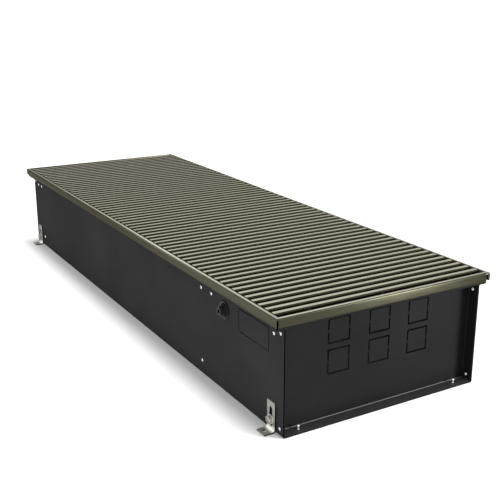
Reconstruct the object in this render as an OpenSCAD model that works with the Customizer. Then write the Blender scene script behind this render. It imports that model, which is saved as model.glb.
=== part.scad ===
// Fan-assisted trench convector heater: a sheet-steel trough sunk in the floor, with an
// aluminium edge frame, a roll-up grille of cross slats, a finned water coil and a
// cross-flow fan. X runs along the trough, +X is the connection end, and the origin is
// the middle of the trough's underside.

/* [Trough] */
// Length of the trough between the ends of its side walls
casing_l = 992; // [800:1:1600]
// Width of the trough over its side walls
casing_w = 310; // [300:1:420]
// Height of the underside of the ledge that carries the grille
ledge_z = 143; // [141:1:220]
// Thickness of all folded steel sheet
sheet_t = 1; // [0.8:0.1:1.5]
// Inside radius of the folds
fold_r = 1.5; // [1:0.1:3]
// Overhang of the ledge beyond the side wall
ledge_w = 11.5; // [9:0.5:20]
// Height of the upstand above the ledge
upstand_h = 12.5; // [8:0.5:13]
// How far each end plate is set back from the ends of the walls
end_recess = 16.5; // [14:0.5:40]
// How far the end rim stands beyond the ends of the walls
end_rim_out = 1.5; // [1.2:0.1:4]

/* [Knock-outs] */
// Side of each square knock-out in the end plates
knockout_size = 32; // [20:1:34]
// Distance between knock-out columns
knockout_pitch_y = 64; // [40:1:80]
// Distance between knock-out rows
knockout_pitch_z = 41.4; // [38:0.1:44]
// Height of the middle of the lower knock-out row
knockout_z = 77.7; // [50:0.1:80]
// Width of the cut that outlines a knock-out
cut_w = 1.6; // [0.8:0.1:2]
// Width of the tabs that hold a knock-out in place
tab_w = 1.8; // [1:0.1:4]
// Length of the rectangular knock-out in the front wall
panel_l = 73; // [40:1:90]
// Height of the rectangular knock-out in the front wall
panel_h = 31; // [20:1:36]
// Distance of that knock-out's middle from the connection end of the wall
panel_from_end = 72.5; // [60:0.5:90]
// Height of that knock-out's middle
panel_z = 118; // [100:1:120]

/* [Edge frame] */
// Wall of the frame extrusion
frame_wall = 1.5; // [1:0.1:2]
// Width of the slot in the extrusion that straddles the upstand
frame_slot = 2; // [1.9:0.1:3]
// Height of the inner leg, from the ledge to the walking surface
frame_h = 16; // [15:0.5:22]
// Height of the visible outer leg
frame_face_h = 12; // [8:0.5:14]
// Outside radius of the extrusion's top outer edge
frame_edge_r = 2.5; // [0.5:0.1:2.5]
// How far the end frames' outer legs stop short of the front corners
leg_relief = 2.6; // [1.6:0.1:6]
// How far the end frames' outer legs stop short of the back corners
leg_relief_back = 7; // [1.6:0.1:10]
// Length of each arm of a corner key
key_l = 26; // [12:1:40]
// Height of a corner key
key_h = 1.4; // [0.8:0.1:1.5]
// Play of a corner key in the slot, each side
key_play = 0.1; // [0.05:0.05:0.3]

/* [Grille] */
// Distance from slat to slat
slat_pitch = 16; // [14:0.5:24]
// Width of a slat's top flange
slat_w = 8.5; // [7:0.1:10]
// Width of a slat's bottom flange
slat_foot_w = 6; // [4:0.1:7]
// Thickness of a slat's flanges
slat_flange_t = 2.2; // [1.5:0.1:3]
// Thickness of a slat's web
slat_web_t = 2.4; // [1.5:0.1:3.5]
// Radius of a slat's top edges
slat_edge_r = 1.8; // [0.5:0.1:2]
// Gap between a slat's end and the frame
slat_end_gap = 1.8; // [1:0.1:3]
// Least gap between the outer slats and the frame
slat_side_gap = 4; // [2:0.5:8]
// Thickness of the rubber strip under the slats
buffer_t = 1.5; // [1:0.1:3]
// Width of the rubber strip
buffer_w = 7; // [4:0.5:8]
// Radius of the close-wound springs that thread the slats
spring_r = 2.2; // [1.5:0.1:2.5]
// Distance of the outer springs from the middle of the slats
spring_y = 112; // [60:1:130]
// Radial play of the springs in the slats and spacers
spring_play = 0.1; // [0.05:0.05:0.3]
// Outer radius of the spacer sleeves on the springs
spacer_r = 3.6; // [3:0.1:4]

/* [Fixings] */
// Radius of the blind rivets' shanks
rivet_r = 1.6; // [1.2:0.1:2]
// Radius of the blind rivets' heads
rivet_head_r = 3.2; // [2.5:0.1:4]
// Height of the blind rivets' heads
rivet_head_h = 1.3; // [0.8:0.1:2]
// Radial play of a rivet in its hole
rivet_play = 0.05; // [0.02:0.01:0.1]
// Distance of the end plate rivets from the ends of the walls
end_rivet_inset = 9; // [7:0.5:10]
// Height of the lower end plate rivets
end_rivet_z = 9.4; // [8:0.1:14]
// Depth of the upper end plate rivets below the ledge
end_rivet_drop = 8; // [6:0.5:12]
// Distance of the bottom flange rivets from the middle of the trough
floor_rivet_y = 128; // [100:1:135]
// Distance of the corner stiffeners' rivets from the connection end
stiffener_from_end = 24; // [22:0.5:30]
// Distance of the far corner stiffeners' rivets from the far end
stiffener_from_far_end = 29; // [22:0.5:34]
// Depth of the stiffener and bulkhead rivets below the ledge
upper_rivet_drop = 13; // [11:0.5:18]
// Height of the bulkheads' lower rivets
bulkhead_rivet_z = 20.5; // [14:0.5:30]
// Radius of the earthing screw's hole in the front wall
earth_hole_r = 1.8; // [1:0.1:3]
// Distance of that hole from the connection end
earth_hole_from_end = 317; // [300:1:330]
// Length of a corner stiffener along the wall
stiffener_l = 12; // [8:1:12]
// Height of a corner stiffener
stiffener_h = 24; // [20:1:40]
// Width of a corner stiffener's top flange
stiffener_w = 14; // [8:1:20]

/* [Feet] */
// Distance of the middle of a foot from the end of the wall
foot_from_end = 26; // [20:0.5:60]
// Width of a foot bracket
foot_w = 18; // [16:0.5:30]
// Height of a foot bracket
foot_h = 40; // [36:0.5:60]
// Reach of the foot's flat plate from the wall
foot_reach = 17.5; // [15:0.5:30]
// Thickness of a foot bracket
foot_t = 2; // [1.5:0.1:3]
// Inside radius of a foot bracket's bend
foot_bend_r = 3; // [2:0.1:3.5]
// Gap between a foot bracket and what it slides on
foot_play = 0.1; // [0.05:0.05:0.3]
// Half the width of the slot in a foot bracket
foot_slot_r = 3.3; // [3.1:0.1:4]
// Height of the bottom end of the slot
foot_slot_z0 = 5.7; // [5:0.1:8]
// Height of the top end of the slot
foot_slot_z1 = 33; // [28:0.1:33]
// Height of the clamping bolts
foot_bolt_z = 16; // [12:0.1:20]
// Radius of the floor-fixing hole in a foot
foot_hole_r = 3; // [2:0.1:4]
// Distance of the floor-fixing hole from the wall
foot_hole_out = 10.5; // [8:0.5:13]
// Radius of the clamping bolts' shanks
bolt_r = 3; // [2:0.1:3]
// Size across the flats of the bolt heads
bolt_af = 10; // [8:0.5:13]
// Thickness of the bolt heads
bolt_head_h = 4; // [3:0.1:6]
// Length of the bolt shanks
bolt_l = 16; // [15:0.5:25]
// Radius of the bolts' washers
washer_r = 6.2; // [5:0.1:8]
// Thickness of the bolts' washers
washer_t = 1.2; // [0.8:0.1:2]
// Outer radius of the rivet nuts' barrels
rivet_nut_r = 4.5; // [4:0.1:6]
// Length of the rivet nuts' barrels inside the wall
rivet_nut_l = 10; // [7:0.5:12]

/* [Cable entry] */
// Distance of the cable grommet from the connection end
grommet_from_end = 146; // [130:1:160]
// Height of the cable grommet
grommet_z = 118.9; // [60:0.1:120]
// Radius of the grommet's flange
grommet_flange_r = 12.5; // [10:0.1:16]
// Radius of the grommet's neck, in the wall
grommet_neck_r = 9.5; // [7:0.1:9.7]
// Length of the grommet's stepped cone outside the wall
grommet_l = 9.5; // [6:0.1:14]
// Radius of the grommet's cable hole
grommet_bore_r = 3; // [2:0.1:4]

/* [Bulkheads] */
// Distance of the connection bulkhead's rivets from the connection end
bulkhead_from_end = 213.5; // [200:0.5:240]
// Distance of the far bulkhead's rivets from the far end
bulkhead_from_far_end = 50; // [45:0.5:90]
// Width of the bulkheads' side flanges
bulkhead_flange = 14; // [12:0.5:20]
// Gap between the bulkheads and the ledge's underside
bulkhead_gap = 3; // [2.6:0.1:6]
// Distance of the second rivet in the connection bulkhead's ear
bulkhead_ear_pitch = 30; // [16:1:40]
// Clearance of the bulkhead's holes round the tubes
tube_hole_gap = 1; // [0.5:0.1:1.2]
// Gap left at hidden edges that bear on nothing
edge_gap = 0.2; // [0.1:0.05:0.5]

/* [Coil] */
// Outer radius of the copper tubes
tube_r = 7.5; // [5:0.1:8]
// Wall of the copper tubes
tube_wall = 0.8; // [0.5:0.1:1]
// Distance between the two tube columns
tube_pitch_y = 60; // [50:1:64]
// Distance between the two tube rows
tube_pitch_z = 36; // [34:1:38]
// Height of the lower tube row
tube_z = 60; // [56:1:66]
// Distance of the coil's middle from the middle of the trough
coil_y = 75; // [72:1:82]
// Width of a fin
fin_w = 120; // [105:1:124]
// Height of a fin
fin_h = 72; // [64:1:76]
// Thickness of a fin
fin_t = 0.5; // [0.4:0.1:1]
// Distance from fin to fin
fin_pitch = 6; // [5:0.5:12]
// Thickness of the fins' collars round the tubes
collar_t = 0.7; // [0.5:0.1:1.5]
// Distance of the last fin from the connection bulkhead
coil_end_gap = 18; // [12:1:40]
// Gap between the far bulkhead and the bends that join the tubes
coil_far_gap = 4; // [2:1:20]
// Straight length of tube between those bends and the first fin
bend_out = 12; // [8:1:20]
// How far the tubes pass the connection bulkhead
tube_out = 42; // [30:1:60]
// Size across the flats of the pipe fittings
fitting_af = 27; // [26:0.5:32]
// Radius of the fittings' pipe thread bore
thread_r = 9.3; // [8:0.1:10]
// Depth of the fittings' pipe thread bore
thread_l = 15; // [10:0.5:20]
// Length of a fitting over the end of its tube
fitting_sleeve_l = 16; // [8:0.5:24]

/* [Air vent] */
// Distance of the air vent past the connection bulkhead
vent_out = 22; // [18:0.5:30]
// Radius of the air vent's body
vent_r = 6; // [5:0.1:7]
// Height of the air vent's body above the tube's axis
vent_h = 22; // [18:0.5:26]
// Radius of the vent screw's shank
vent_screw_r = 2.5; // [1.5:0.1:3]
// Radial running play of the vent screw and the fan shaft
running_play = 0.05; // [0.03:0.01:0.08]
// Depth of the vent screw in its body
vent_screw_l = 9; // [6:0.5:11]

/* [Fan] */
// Distance of the fan's axis from the middle of the trough
fan_y = -80; // [-84:1:-78]
// Height of the fan's axis
fan_z = 62; // [60:1:64]
// Radius of the impellers
impeller_r = 30; // [26:0.5:31]
// Width of the ring of blades
blade_ring = 7; // [5:0.5:9]
// Number of blades on each impeller
blade_n = 26; // [12:1:32]
// Angle of the blades' outer edges to the rim
blade_angle = 26; // [20:1:40]
// Thickness of a blade
blade_t = 0.8; // [0.6:0.1:1.2]
// Thickness of the impellers' discs
disc_t = 1.6; // [1:0.1:3]
// Length of each impeller
impeller_l = 272; // [150:1:280]
// Discs on each impeller
disc_n = 5; // [3:1:7]
// Radius of the fan shaft
shaft_r = 3; // [2:0.1:5]
// Gap between the impellers and the scroll at its start
scroll_gap = 4; // [3:0.5:8]
// Growth of that gap round to the outlet
scroll_growth = 11; // [6:0.5:12]
// Distance of the scroll's outlet edge from the fan's axis
scroll_out = 78; // [50:1:82]
// Gap between an impeller and the scroll's side plates
side_gap = 3; // [2:0.5:6]
// Radius of the motor
motor_r = 28; // [20:0.5:29]
// Length of the motor
motor_l = 62; // [40:1:70]
// Gap between the motor and the fan's inner side plates
motor_gap = 6; // [4:0.5:12]
// Radius of the plain bearings
bearing_r = 6; // [5.5:0.1:8]
// Length of the plain bearings
bearing_l = 8; // [5:0.5:12]
// Radius of the rubber rings round the bearings
rubber_r = 10; // [9:0.1:14]

/* [Control box] */
// Length of the control box
box_l = 110; // [80:1:120]
// Width of the control box
box_w = 80; // [60:1:90]
// Height of the control box base
box_h = 48; // [35:1:60]
// Wall of the control box
box_wall = 2.5; // [2:0.1:4]
// Thickness of the control box lid
lid_t = 3; // [2:0.1:5]
// Play of the lid's lip inside the base
lid_play = 0.4; // [0.3:0.1:1]
// Distance of the box from the connection bulkhead
box_gap = 45; // [40:1:50]
// Distance of the box from the front wall
box_wall_gap = 10; // [6:1:20]
// Ways of the terminal block
terminal_n = 8; // [4:1:8]
// Width of one way of the terminal block
terminal_pitch = 10; // [8:0.5:10]

/* [Hidden] */
$fn = 48;
eps = 0.01;
cut = 5;

end_x = casing_l / 2;
side_y = casing_w / 2;
ledge_top = ledge_z + sheet_t;
upstand_y = side_y + ledge_w;
top_z = ledge_top + frame_h;
strip_w = 2 * frame_wall + frame_slot;
frame_x = end_x + end_rim_out + frame_slot - sheet_t + frame_wall;
frame_y = upstand_y + frame_slot - sheet_t + frame_wall;
plate_x = end_x - end_recess;
inner_y = side_y - sheet_t;
end_rivet_x = end_x - end_rivet_inset;
end_rivet_top = ledge_z - end_rivet_drop;
upper_rivet_z = ledge_z - upper_rivet_drop;

grille_x = frame_x - strip_w;
slat_half = frame_y - strip_w - slat_end_gap;
slat_h = frame_h - buffer_t;
slat_n = floor((2 * (grille_x - slat_side_gap) - slat_w) / slat_pitch) + 1;
slat_x0 = -(slat_n - 1) * slat_pitch / 2;
spring_z = top_z - slat_h / 2;
spring_ys = [-spring_y, 0, spring_y];

bulkhead_x = end_x - bulkhead_from_end;
far_bulkhead_x = -end_x + bulkhead_from_far_end;
bulkhead_plate = bulkhead_x - bulkhead_flange / 2;
far_plate = far_bulkhead_x + bulkhead_flange / 2;
bulkhead_h = ledge_z - bulkhead_gap;

bend_x0 = far_plate + coil_far_gap + tube_pitch_z / 2 + tube_r;
fin_x1 = bulkhead_plate - coil_end_gap;
fin_x0 = bend_x0 + bend_out;
fin_n = floor((fin_x1 - fin_x0) / fin_pitch) + 1;
tube_x1 = bulkhead_plate + tube_out;
tube_ys = [coil_y - tube_pitch_y / 2, coil_y + tube_pitch_y / 2];
tube_zs = [tube_z, tube_z + tube_pitch_z];
coil_z = tube_z + tube_pitch_z / 2;

fan_mid = (bulkhead_plate + far_plate) / 2;
inner_side_x = motor_l / 2 + motor_gap;
impeller_x = inner_side_x + sheet_t + side_gap;
outer_side_x = impeller_x + impeller_l + side_gap;

box_x0 = bulkhead_plate + box_gap;
box_y0 = -inner_y + box_wall_gap;
box_z0 = sheet_t;

// ---------- shared shapes ----------

// A quarter of a folded sheet's bend, its inside corner at the origin.
module fold_arc(turn, t = sheet_t, r = fold_r) {
    rotate(turn) intersection() {
        difference() {
            circle(r + t);
            circle(r);
        }
        square(r + t);
    }
}

// An upright plate folded outwards at its foot: x runs out of the plate. With no height
// given it is the fold and the flange alone.
module angle_section(out, up = 0, t = sheet_t, r = fold_r) {
    bend = r + t;
    if (up > bend) translate([0, bend]) square([t, up - bend]);
    translate([bend, 0]) square([out - bend, t]);
    translate([bend, bend]) fold_arc(180, t, r);
}

// A slot with round ends from z0 to z1, drawn in the XY plane along Y.
module slot_shape(r, z0, z1) {
    translate([0, z0 + r]) circle(r);
    translate([0, z1 - r]) circle(r);
    translate([-r, z0 + r]) square([2 * r, z1 - z0 - 2 * r]);
}

// The cut round a knock-out, bridged by a tab in the middle of each upright side.
module knockout_cut(l, h) {
    difference() {
        square([l + cut_w, h + cut_w], center = true);
        square([l - cut_w, h - cut_w], center = true);
        square([l + 2 * cut_w, tab_w], center = true);
    }
}

// Stands a shape drawn in the XY plane up in the YZ plane, its thickness along X.
module across(x, t) {
    translate([x, 0, 0]) rotate([90, 0, 90]) linear_extrude(t) children();
}

// Stands a shape drawn in the XY plane up in the XZ plane, its thickness along +Y.
module along(y, t) {
    translate([0, y + t, 0]) rotate([90, 0, 0]) linear_extrude(t) children();
}

// A drill along Y.
module drill_y(x, z, r, y0, y1) {
    translate([x, y0, z]) rotate([-90, 0, 0]) cylinder(r = r, h = y1 - y0);
}

// ---------- trough and its plates ----------

wall_rivets = [
    [end_rivet_x, end_rivet_z], [end_rivet_x, end_rivet_top],
    [-end_rivet_x, end_rivet_z], [-end_rivet_x, end_rivet_top],
    [end_x - stiffener_from_end, upper_rivet_z],
    [-end_x + stiffener_from_far_end, upper_rivet_z],
    [bulkhead_x, bulkhead_rivet_z], [bulkhead_x, upper_rivet_z],
    [bulkhead_x + bulkhead_ear_pitch, upper_rivet_z],
    [far_bulkhead_x, bulkhead_rivet_z], [far_bulkhead_x, upper_rivet_z]
];
foot_xs = [end_x - foot_from_end, -end_x + foot_from_end];

// Half of the trough's cross-section, from its middle line to the upstand.
module trough_half() {
    bend = fold_r + sheet_t;
    square([side_y - bend, sheet_t]);
    translate([side_y - bend, bend]) fold_arc(-90);
    translate([inner_y, bend]) square([sheet_t, ledge_z - fold_r - bend]);
    translate([side_y + fold_r, ledge_z - fold_r]) fold_arc(90);
    translate([side_y + fold_r, ledge_z]) square([ledge_w - bend - fold_r, sheet_t]);
    translate([upstand_y - bend, ledge_z + bend]) fold_arc(-90);
    translate([upstand_y - sheet_t, ledge_z + bend])
        square([sheet_t, sheet_t + upstand_h - bend]);
}

module trough() {
    color("#343434") difference() {
        across(-end_x, casing_l) {
            trough_half();
            mirror([1, 0]) trough_half();
        }
        for (p = wall_rivets)
            drill_y(p[0], p[1], rivet_r + rivet_play, -side_y - cut, side_y + cut);
        for (x = foot_xs)
            drill_y(x, foot_bolt_z, rivet_nut_r, -side_y - cut, side_y + cut);
        for (x = [-end_rivet_x, end_rivet_x], y = [-floor_rivet_y, floor_rivet_y])
            translate([x, y, -cut]) cylinder(r = rivet_r + rivet_play, h = 2 * cut);
        drill_y(end_x - grommet_from_end, grommet_z, grommet_neck_r, -side_y - cut, -inner_y + cut);
        drill_y(end_x - earth_hole_from_end, upper_rivet_z, earth_hole_r,
            -side_y - cut, -inner_y + cut);
        along(-side_y - cut, 2 * cut)
            translate([end_x - panel_from_end, panel_z]) knockout_cut(panel_l, panel_h);
    }
}

// The right-hand end plate: a tray set back between the walls, its flanges turned out
// to the wall ends, and its ledge and upstand carried round the end.
module end_plate() {
    half = inner_y;
    rim_x = end_x + end_rim_out;
    bend = fold_r + sheet_t;
    difference() {
        union() {
            across(plate_x - sheet_t, sheet_t)
                translate([-half + bend, sheet_t + bend])
                    square([2 * (half - bend), ledge_z - fold_r - sheet_t - bend]);
            // floor flange
            translate([plate_x - sheet_t, half - bend, sheet_t])
                rotate([90, 0, 0]) linear_extrude(2 * (half - bend))
                    angle_section(end_recess + sheet_t - edge_gap);
            // side flanges
            for (s = [-1, 1])
                scale([1, s, 1])
                    translate([plate_x - sheet_t, half, sheet_t + bend]) mirror([0, 1, 0])
                        linear_extrude(ledge_z - fold_r - sheet_t - bend)
                            angle_section(end_recess + sheet_t - edge_gap);
            // ledge
            translate([plate_x - sheet_t, half - bend, ledge_top]) mirror([0, 0, 1])
                rotate([90, 0, 0]) linear_extrude(2 * (half - bend))
                    angle_section(rim_x - plate_x - fold_r);
            // upstand
            translate([rim_x, upstand_y - sheet_t, ledge_z]) mirror([1, 0, 0])
                rotate([90, 0, 0]) linear_extrude(2 * (upstand_y - sheet_t))
                    angle_section(bend + sheet_t, sheet_t + upstand_h);
        }
        for (c = [-1, 0, 1], r = [0, 1])
            across(plate_x - cut, 2 * cut)
                translate([c * knockout_pitch_y, knockout_z + r * knockout_pitch_z])
                    knockout_cut(knockout_size, knockout_size);
        for (z = [end_rivet_z, end_rivet_top])
            drill_y(end_rivet_x, z, rivet_r + rivet_play, -side_y, side_y);
        for (y = [-floor_rivet_y, floor_rivet_y])
            translate([end_rivet_x, y, 0]) cylinder(r = rivet_r + rivet_play, h = cut);
        // corner reliefs, where the rim passes the ends of the side ledges
        for (s = [-1, 1])
            scale([1, s, 1]) translate([plate_x, half, ledge_z - cut])
                cube([end_recess + edge_gap, ledge_w + 2 * cut, cut + bend + upstand_h]);
    }
}

module end_plate_right() {
    color("#2b2b2c") end_plate();
}

module end_plate_left() {
    color("#2b2b2c") mirror([1, 0, 0]) end_plate();
}

// Small angles riveted inside the walls, under the ledge near each corner.
module corner_stiffeners() {
    color("#2b2b2c")
        for (x = [end_x - stiffener_from_end, -end_x + stiffener_from_far_end], s = [-1, 1])
            scale([1, s, 1]) difference() {
                translate([x + stiffener_l / 2, inner_y, ledge_z - bulkhead_gap])
                    mirror([0, 1, 0]) mirror([0, 0, 1]) rotate([90, 0, -90]) mirror([1, 0, 0])
                        linear_extrude(stiffener_l) angle_section(stiffener_w, stiffener_h);
                drill_y(x, upper_rivet_z, rivet_r + rivet_play, inner_y - cut, side_y);
            }
}

// A bulkhead: a plate across the trough with side flanges, and an ear at the top of
// each flange where it takes a second rivet.
module bulkhead_blank(ear) {
    half = inner_y;
    bend = fold_r + sheet_t;
    ear_h = 2 * (bulkhead_h - upper_rivet_z);
    across(0, sheet_t)
        translate([-half + bend, sheet_t]) square([2 * (half - bend), bulkhead_h - sheet_t]);
    for (s = [-1, 1])
        scale([1, s, 1]) {
            translate([0, half, bend]) mirror([0, 1, 0])
                linear_extrude(bulkhead_h - bend) angle_section(bulkhead_flange);
            if (ear > 0)
                translate([bulkhead_flange, half - sheet_t, bulkhead_h - ear_h])
                    cube([ear, sheet_t, ear_h]);
        }
}

module connection_bulkhead() {
    notch = 24;
    color("#7d8083") difference() {
        translate([bulkhead_plate, 0, 0]) bulkhead_blank(bulkhead_ear_pitch);
        for (y = tube_ys, z = tube_zs)
            across(bulkhead_plate - cut, 2 * cut) translate([y, z]) circle(tube_r + tube_hole_gap);
        for (p = wall_rivets)
            drill_y(p[0], p[1], rivet_r + rivet_play, -side_y, side_y);
        // notch for the fan's wiring
        across(bulkhead_plate - cut, 2 * cut) translate([-inner_y + notch, 0]) square(notch);
    }
}

module far_bulkhead() {
    color("#7d8083") difference() {
        translate([far_plate, 0, 0]) mirror([1, 0, 0]) bulkhead_blank(0);
        for (p = wall_rivets)
            drill_y(p[0], p[1], rivet_r + rivet_play, -side_y, side_y);
    }
}

// A blind rivet's domed head.
module rivet_head() {
    dome_r = (rivet_head_r * rivet_head_r + rivet_head_h * rivet_head_h) / (2 * rivet_head_h);
    intersection() {
        translate([0, 0, rivet_head_h - dome_r]) sphere(dome_r);
        cylinder(r = rivet_head_r, h = rivet_head_h);
    }
}

// A blind rivet through both sheets, with the bulb that its pin has drawn up inside.
module rivet() {
    grip = 2 * sheet_t;
    bulb_l = 2.4;
    bulb_r = rivet_r + 0.6;
    rivet_head();
    translate([0, 0, -grip - bulb_l]) cylinder(r = rivet_r, h = grip + bulb_l + eps);
    translate([0, 0, -grip - bulb_l]) cylinder(r = bulb_r, h = bulb_l);
}

// The rivets in the floor flange are set from above and end flush under the floor.
module floor_rivet() {
    rivet_head();
    translate([0, 0, -2 * sheet_t]) cylinder(r = rivet_r, h = 2 * sheet_t + eps);
}

module casing_rivets() {
    color("#d9dadb") {
        for (p = wall_rivets, s = [-1, 1])
            scale([1, s, 1]) translate([p[0], side_y, p[1]]) rotate([-90, 0, 0]) rivet();
        for (x = [-end_rivet_x, end_rivet_x], y = [-floor_rivet_y, floor_rivet_y])
            translate([x, y, 2 * sheet_t]) floor_rivet();
    }
}

// ---------- edge frame ----------

// The frame extrusion's section: x inwards from the visible face, y up.
module frame_section() {
    r = frame_edge_r;
    translate([0, top_z - frame_face_h]) square([frame_wall, frame_face_h - r]);
    translate([r, top_z - frame_wall]) square([strip_w - r, frame_wall]);
    translate([strip_w - frame_wall, ledge_top + fold_r]) square([frame_wall, frame_h - fold_r]);
    // rounded outer edge, square inside
    translate([r, top_z - r]) difference() {
        intersection() {
            circle(r);
            translate([-r, 0]) square(r);
        }
        translate([frame_wall - r, -r]) square([2 * r, 2 * r - frame_wall]);
    }
}

// A length of frame along X, its face at y = 0, mitred at both ends.
module frame_bar(l) {
    intersection() {
        across(-l / 2, l) frame_section();
        translate([0, 0, ledge_top - cut]) linear_extrude(frame_h + 2 * cut)
            polygon([[-l / 2, 0], [l / 2, 0], [l / 2 - strip_w, strip_w],
                [-l / 2 + strip_w, strip_w]]);
    }
}

module frame_front() {
    color("#8b8872") translate([0, -frame_y, 0]) frame_bar(2 * frame_x);
}

module frame_back() {
    color("#8b8872") mirror([0, 1, 0]) translate([0, -frame_y, 0]) frame_bar(2 * frame_x);
}

// The end frames' visible legs stop short of the corners, so the side legs pass them.
module frame_end() {
    translate([frame_x, 0, 0]) rotate(90) difference() {
        frame_bar(2 * frame_y);
        for (e = [[-1, leg_relief], [1, leg_relief_back]])
            scale([e[0], 1, 1])
                translate([frame_y - e[1], -cut, top_z - frame_face_h - cut])
                    cube([cut + e[1], cut + frame_wall + eps, frame_face_h + cut - frame_wall]);
    }
}

module frame_right() {
    color("#8b8872") frame_end();
}

module frame_left() {
    color("#8b8872") mirror([1, 0, 0]) frame_end();
}

// L-shaped keys lie in the frame's slot above the upstand and join the mitres.
module frame_corner_keys() {
    out = frame_wall + key_play;
    w = frame_slot - 2 * key_play;
    color("#c9cacc")
        for (sx = [-1, 1], sy = [-1, 1])
            scale([sx, sy, 1])
                translate([frame_x - out, frame_y - out, top_z - frame_wall - key_h])
                    linear_extrude(key_h)
                        polygon([[0, 0], [0, -key_l], [-w, -key_l], [-w, -w], [-key_l, -w],
                            [-key_l, 0]]);
}

// ---------- grille ----------

module grille_buffers() {
    color("#1b1b1c")
        for (s = [-1, 1])
            scale([1, s, 1])
                translate([-grille_x + edge_gap, frame_y - strip_w - edge_gap - buffer_w,
                    ledge_top])
                    cube([2 * (grille_x - edge_gap), buffer_w, buffer_t]);
}

// A slat's section: a broad top with rounded edges, as far as its flange allows, a thin
// web and a narrow foot.
module slat_section() {
    z0 = ledge_top + buffer_t;
    neck_z = top_z - slat_flange_t;
    edge_r = min(slat_edge_r, 0.85 * slat_flange_t);
    translate([-slat_foot_w / 2, z0]) square([slat_foot_w, slat_flange_t]);
    translate([-slat_web_t / 2, z0]) square([slat_web_t, slat_h - eps]);
    translate([-slat_w / 2, neck_z]) square([slat_w, slat_flange_t - edge_r]);
    translate([-slat_w / 2 + edge_r, neck_z]) square([slat_w - 2 * edge_r, slat_flange_t]);
    for (s = [-1, 1])
        translate([s * (slat_w / 2 - edge_r), top_z - edge_r]) intersection() {
            circle(edge_r);
            translate([-edge_r, 0]) square([2 * edge_r, edge_r]);
        }
}

module grille_slats() {
    color("#b9b59d")
        for (i = [0 : slat_n - 1])
            translate([slat_x0 + i * slat_pitch, 0, 0]) difference() {
                along(-slat_half, 2 * slat_half) slat_section();
                for (y = spring_ys)
                    translate([-cut, y, spring_z]) rotate([0, 90, 0])
                        cylinder(r = spring_r + spring_play, h = 2 * cut);
            }
}

// Close-wound springs through all the slats, with a crimped button at each end.
module grille_springs() {
    half = -slat_x0 + slat_web_t / 2 + edge_gap;
    button = 1.2;
    color("#c9cacc")
        for (y = spring_ys)
            translate([0, y, spring_z]) rotate([0, 90, 0]) {
                cylinder(r = spring_r, h = 2 * half, center = true);
                for (s = [-1, 1])
                    translate([0, 0, s * (half + button / 2 - eps)])
                        cylinder(r = spacer_r, h = button, center = true);
            }
}

// Plastic sleeves on the springs that hold the slats apart.
module grille_spacers() {
    l = slat_pitch - slat_web_t - 2 * spring_play;
    color("#1b1b1c")
        for (i = [0 : slat_n - 2], y = spring_ys)
            translate([slat_x0 + (i + 0.5) * slat_pitch, y, spring_z]) rotate([0, 90, 0])
                difference() {
                    cylinder(r = spacer_r, h = l, center = true);
                    cylinder(r = spring_r + spring_play, h = l + cut, center = true);
                }
}

// ---------- cable entry ----------

// A stepped rubber cone that snaps into the wall, cut open at the tip for the cable.
module cable_grommet() {
    steps = 4;
    base_h = 2;
    lip = 1.6;
    tip_r = grommet_bore_r + 2.6;
    step_h = (grommet_l - base_h) / steps;
    root_r = grommet_neck_r + 0.5;
    function step_r(i) = root_r + (tip_r - root_r) * i / (steps - 1);
    staircase = [for (i = [0 : steps - 1], k = [0, 1]) [step_r(i), base_h + (i + k) * step_h]];
    color("#141414")
        translate([end_x - grommet_from_end, -side_y, grommet_z]) rotate([90, 0, 0])
            rotate_extrude()
                polygon(concat(
                    [[grommet_bore_r, grommet_l - step_h], [grommet_neck_r - lip, base_h],
                        [grommet_neck_r - lip, -sheet_t - lip],
                        [grommet_neck_r + lip, -sheet_t - lip], [grommet_neck_r + lip, -sheet_t],
                        [grommet_neck_r - rivet_play, -sheet_t],
                        [grommet_neck_r - rivet_play, 0], [grommet_flange_r, 0],
                        [grommet_flange_r, base_h]],
                    staircase,
                    [[grommet_bore_r, grommet_l]]));
}

// ---------- coil ----------

module tube(x0, x1) {
    translate([x0, 0, 0]) rotate([0, 90, 0]) difference() {
        cylinder(r = tube_r, h = x1 - x0);
        translate([0, 0, -cut]) cylinder(r = tube_r - tube_wall, h = x1 - x0 + 2 * cut);
    }
}

// Aluminium fins with collars that close the gaps along the tubes.
module coil_fins() {
    color("#c4c7c9") {
        for (i = [0 : fin_n - 1])
            across(fin_x0 + i * fin_pitch, fin_t) difference() {
                translate([coil_y - fin_w / 2, coil_z - fin_h / 2]) square([fin_w, fin_h]);
                for (y = tube_ys, z = tube_zs) translate([y, z]) circle(tube_r + collar_t / 2);
            }
        for (y = tube_ys, z = tube_zs)
            across(fin_x0, (fin_n - 1) * fin_pitch + fin_t) translate([y, z]) difference() {
                circle(tube_r + collar_t);
                circle(tube_r);
            }
    }
}

module coil_tubes() {
    color("#b4714a")
        for (y = tube_ys, z = tube_zs)
            translate([0, y, z]) tube(bend_x0, tube_x1);
}

// Half a turn of tube that joins two tubes a pitch apart, bulging towards +X.
module return_bend(pitch) {
    rotate(-90) rotate_extrude(angle = 180) translate([pitch / 2, 0]) difference() {
        circle(tube_r);
        circle(tube_r - tube_wall);
    }
}

module coil_bends() {
    color("#b4714a") {
        for (y = tube_ys)
            translate([bend_x0, y, coil_z]) rotate([90, 0, 180]) return_bend(tube_pitch_z);
        translate([tube_x1, coil_y, tube_z + tube_pitch_z]) return_bend(tube_pitch_y);
    }
}

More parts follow.
